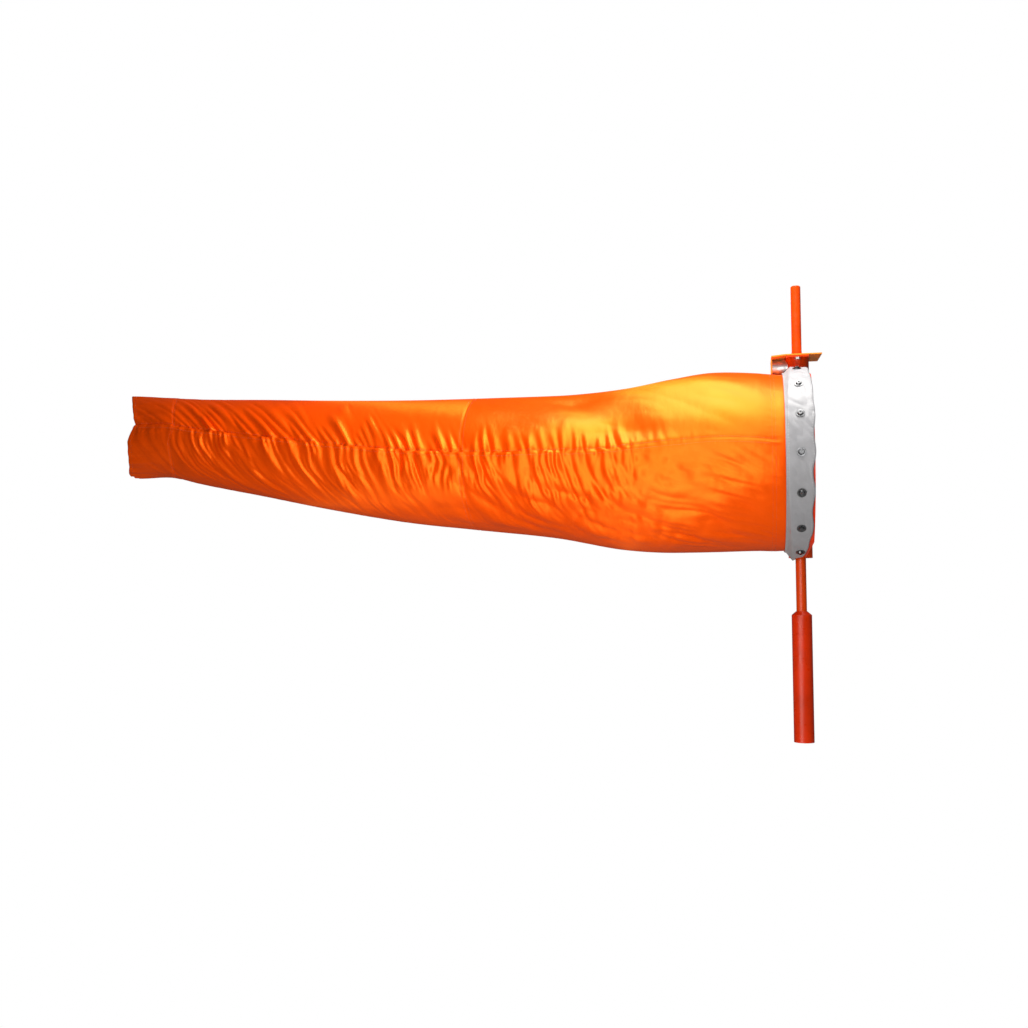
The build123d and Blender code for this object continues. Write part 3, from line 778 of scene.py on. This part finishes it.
def band_point(share, angle):
    """Points of the band; share runs from its rear edge, 0, to its front edge, 1."""
    front = band_front_edge(angle)
    x = BAND_LEFT + (front - BAND_LEFT) * share
    around = (angle[..., None] - screw_angles()) * BAND_RADIUS
    distance = np.sqrt((around**2 + (x[..., None] - SCREW_X) ** 2)).min(axis=-1)
    held = np.exp(-((distance / 0.0125) ** 2) ** 1.5)
    arc = angle * BAND_RADIUS
    crease = folds((x * 0.9 + arc * 0.55) / 0.021, (arc - x) / 0.06, 101) - 0.3
    crease = crease * (0.35 + 0.65 * smooth_step(-np.cos(angle), -0.25, 0.35))
    puff = 0.5 + gradient_noise(arc / 0.05, x / 0.05, 103)
    loose = 0.0021 * crease + 0.0012 * puff
    base = BAND_RADIUS - 0.0003
    radius = base + np.clip(loose, -0.0006, BAND_LOOSEST) * (1 - held)
    flare = 0.008 + 0.015 * np.abs(np.cos(angle)) ** 3
    rear = smooth_step(x, BAND_LEFT, BAND_LEFT + flare)
    radius = (sock_radius_at(angle) + 0.0034) * (1 - rear) + radius * rear
    roll = smooth_step(share, 0.93, 1.0)
    radius = radius - 0.0012 * roll * roll
    return np.stack([x, -radius * np.sin(angle), HOOP_Z - radius * np.cos(angle)], axis=-1)


def band_limit():
    """Angle from the bottom at which the band's strap ends, each side of the gap at its top."""
    return np.pi - math.asin(BAND_GAP / BAND_RADIUS)


def band_piece():
    """The band's cloth, thickened, and its flat area."""
    limit = band_limit()
    angles = np.linspace(-limit, limit, 560)
    shares = np.linspace(0, 1, 34)
    share, angle = np.meshgrid(shares, angles, indexing="ij")
    points = band_point(share, angle)
    uv = np.stack([points[:, :, 0], angle * BAND_RADIUS], axis=-1)
    made = grid_mesh("band_cloth", points, uv, "grey_band", False)
    thick = made.modifiers.new("thickness", "SOLIDIFY")
    thick.thickness = BAND_CLOTH
    thick.offset = -1 if made.data.polygons[0].normal.dot(Vector((0, 0, 1))) > 0 else 1
    widths = (band_front_edge(angles) - BAND_LEFT) * BAND_RADIUS
    area = float(np.sum((widths[1:] + widths[:-1]) / 2 * np.diff(angles)))
    return made, area


def band_stitches():
    """Two rows of stitches at the band's rear edge and one at its front edge."""
    limit = band_limit() - 0.01
    centres, ahead, outs = [], [], []
    for share in (0.05, 0.11, 0.93):
        angles = np.arange(-limit, limit, BAND_STITCH_PITCH / BAND_RADIUS)
        here, _, around, out = surface_frame(band_point, np.full(len(angles), share), angles)
        centres.append(here + out * STITCH_LIFT)
        ahead.append(around)
        outs.append(out)
    lists = (np.concatenate(part) for part in (centres, ahead, outs))
    return stitches("band_stitches", *lists, BAND_STITCH_LENGTH, BAND_STITCH_WIDTH, "grey_thread")


band, band_area = band_piece()
band_thread = band_stitches()
for piece in (band, band_thread):
    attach(piece, "head")
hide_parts("hoop_band")


# ---------------------------------------------------------------- weld beads
def bead(name, path, radius, closed, paint_slot):
    """A rippled weld bead on the head, along a path of points."""
    path = np.array(path, float)
    count, sides = len(path), 8
    before, after = np.roll(path, 1, axis=0), np.roll(path, -1, axis=0)
    if not closed:
        before[0], after[-1] = path[0], path[-1]
    ahead = after - before
    ahead /= np.linalg.norm(ahead, axis=1, keepdims=True)
    lift = np.array([0, 0, 1.0]) if abs(ahead[:, 2]).max() < 0.9 else np.array([1.0, 0, 0])
    side = np.cross(ahead, lift)
    side /= np.linalg.norm(side, axis=1, keepdims=True)
    up = np.cross(side, ahead)
    ripple = 1 + 0.16 * np.sin(np.arange(count) * 2.1) + 0.06 * np.sin(np.arange(count) * 0.7)
    if not closed:
        ripple[0], ripple[-1] = 0.35, 0.35
    turn = 2 * np.pi * np.arange(sides) / sides
    ring = np.cos(turn)[None, :, None] * side[:, None] + np.sin(turn)[None, :, None] * up[:, None]
    points = path[:, None] + ring * (radius * ripple)[:, None, None]
    index = np.arange(count * sides).reshape(count, sides)
    faces = []
    for i in range(count if closed else count - 1):
        j = (i + 1) % count
        for k in range(sides):
            m = (k + 1) % sides
            faces.append((int(index[i, k]), int(index[i, m]), int(index[j, m]), int(index[j, k])))
    if not closed:
        faces.append(tuple(int(k) for k in index[0][::-1]))
        faces.append(tuple(int(k) for k in index[-1]))
    made = plain_mesh(name, points.reshape(-1, 3), faces, paint_slot)
    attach(made, "head")


def on_sleeve(x, gap=0.0):
    """Distance out to the sleeve's surface at a distance along X."""
    return math.sqrt(SLEEVE_RADIUS**2 - x * x) + gap


def add_welds():
    """Beads where the sleeve meets the plate, the standoff, the ears and the half-hoops."""
    gap = 0.0004
    turn = np.linspace(0, 2 * np.pi, 97)[:-1]
    rim = [(SLEEVE_RADIUS * math.cos(a), SLEEVE_RADIUS * math.sin(a), SLEEVE_TOP.z) for a in turn]
    bead("weld_plate", rim, 0.0022, True, "orange_paint")

    radius = (standoff_high.z - standoff_low.z) / 2
    middle = (standoff_high.z + standoff_low.z) / 2
    saddle = []
    for a in turn:
        y = radius * math.cos(a)
        saddle.append((-on_sleeve(y, gap), y, middle + radius * math.sin(a)))
    bead("weld_standoff", saddle, 0.0018, True, "orange_paint")

    ear_inner = 0.027
    ear_reach = math.sqrt(SLEEVE_RADIUS**2 - ear_inner**2) - gap
    weld_circle = HOOP_RADIUS - 0.0035
    for side, name in ((-1, "near"), (1, "far")):
        arc = [(x, side * on_sleeve(x), EAR_BOTTOM) for x in np.linspace(-ear_reach, ear_reach, 15)]
        bead(f"weld_ear_{name}", arc, 0.0020, False, "orange_paint")
        for up, end in ((1, "top"), (-1, "bottom")):
            run = []
            for x in np.linspace(-0.0165, -0.001, 13):
                y = on_sleeve(x, gap)
                run.append((x, side * y, HOOP_Z + up * math.sqrt(weld_circle**2 - y * y)))
            bead(f"weld_hoop_{name}_{end}", run, 0.0017, False, "red_paint")


add_welds()


# ---------------------------------------------------------------- the stage
def add_floor():
    size, level = 30.0, -1.3
    corners = [(-size, -size), (size, -size), (size, size), (-size, size)]
    points = np.array([(x, y, level) for x, y in corners])
    materials["floor"] = floor_white("floor")
    plain_mesh("floor", points, [(0, 1, 2, 3)], "floor")


add_floor()
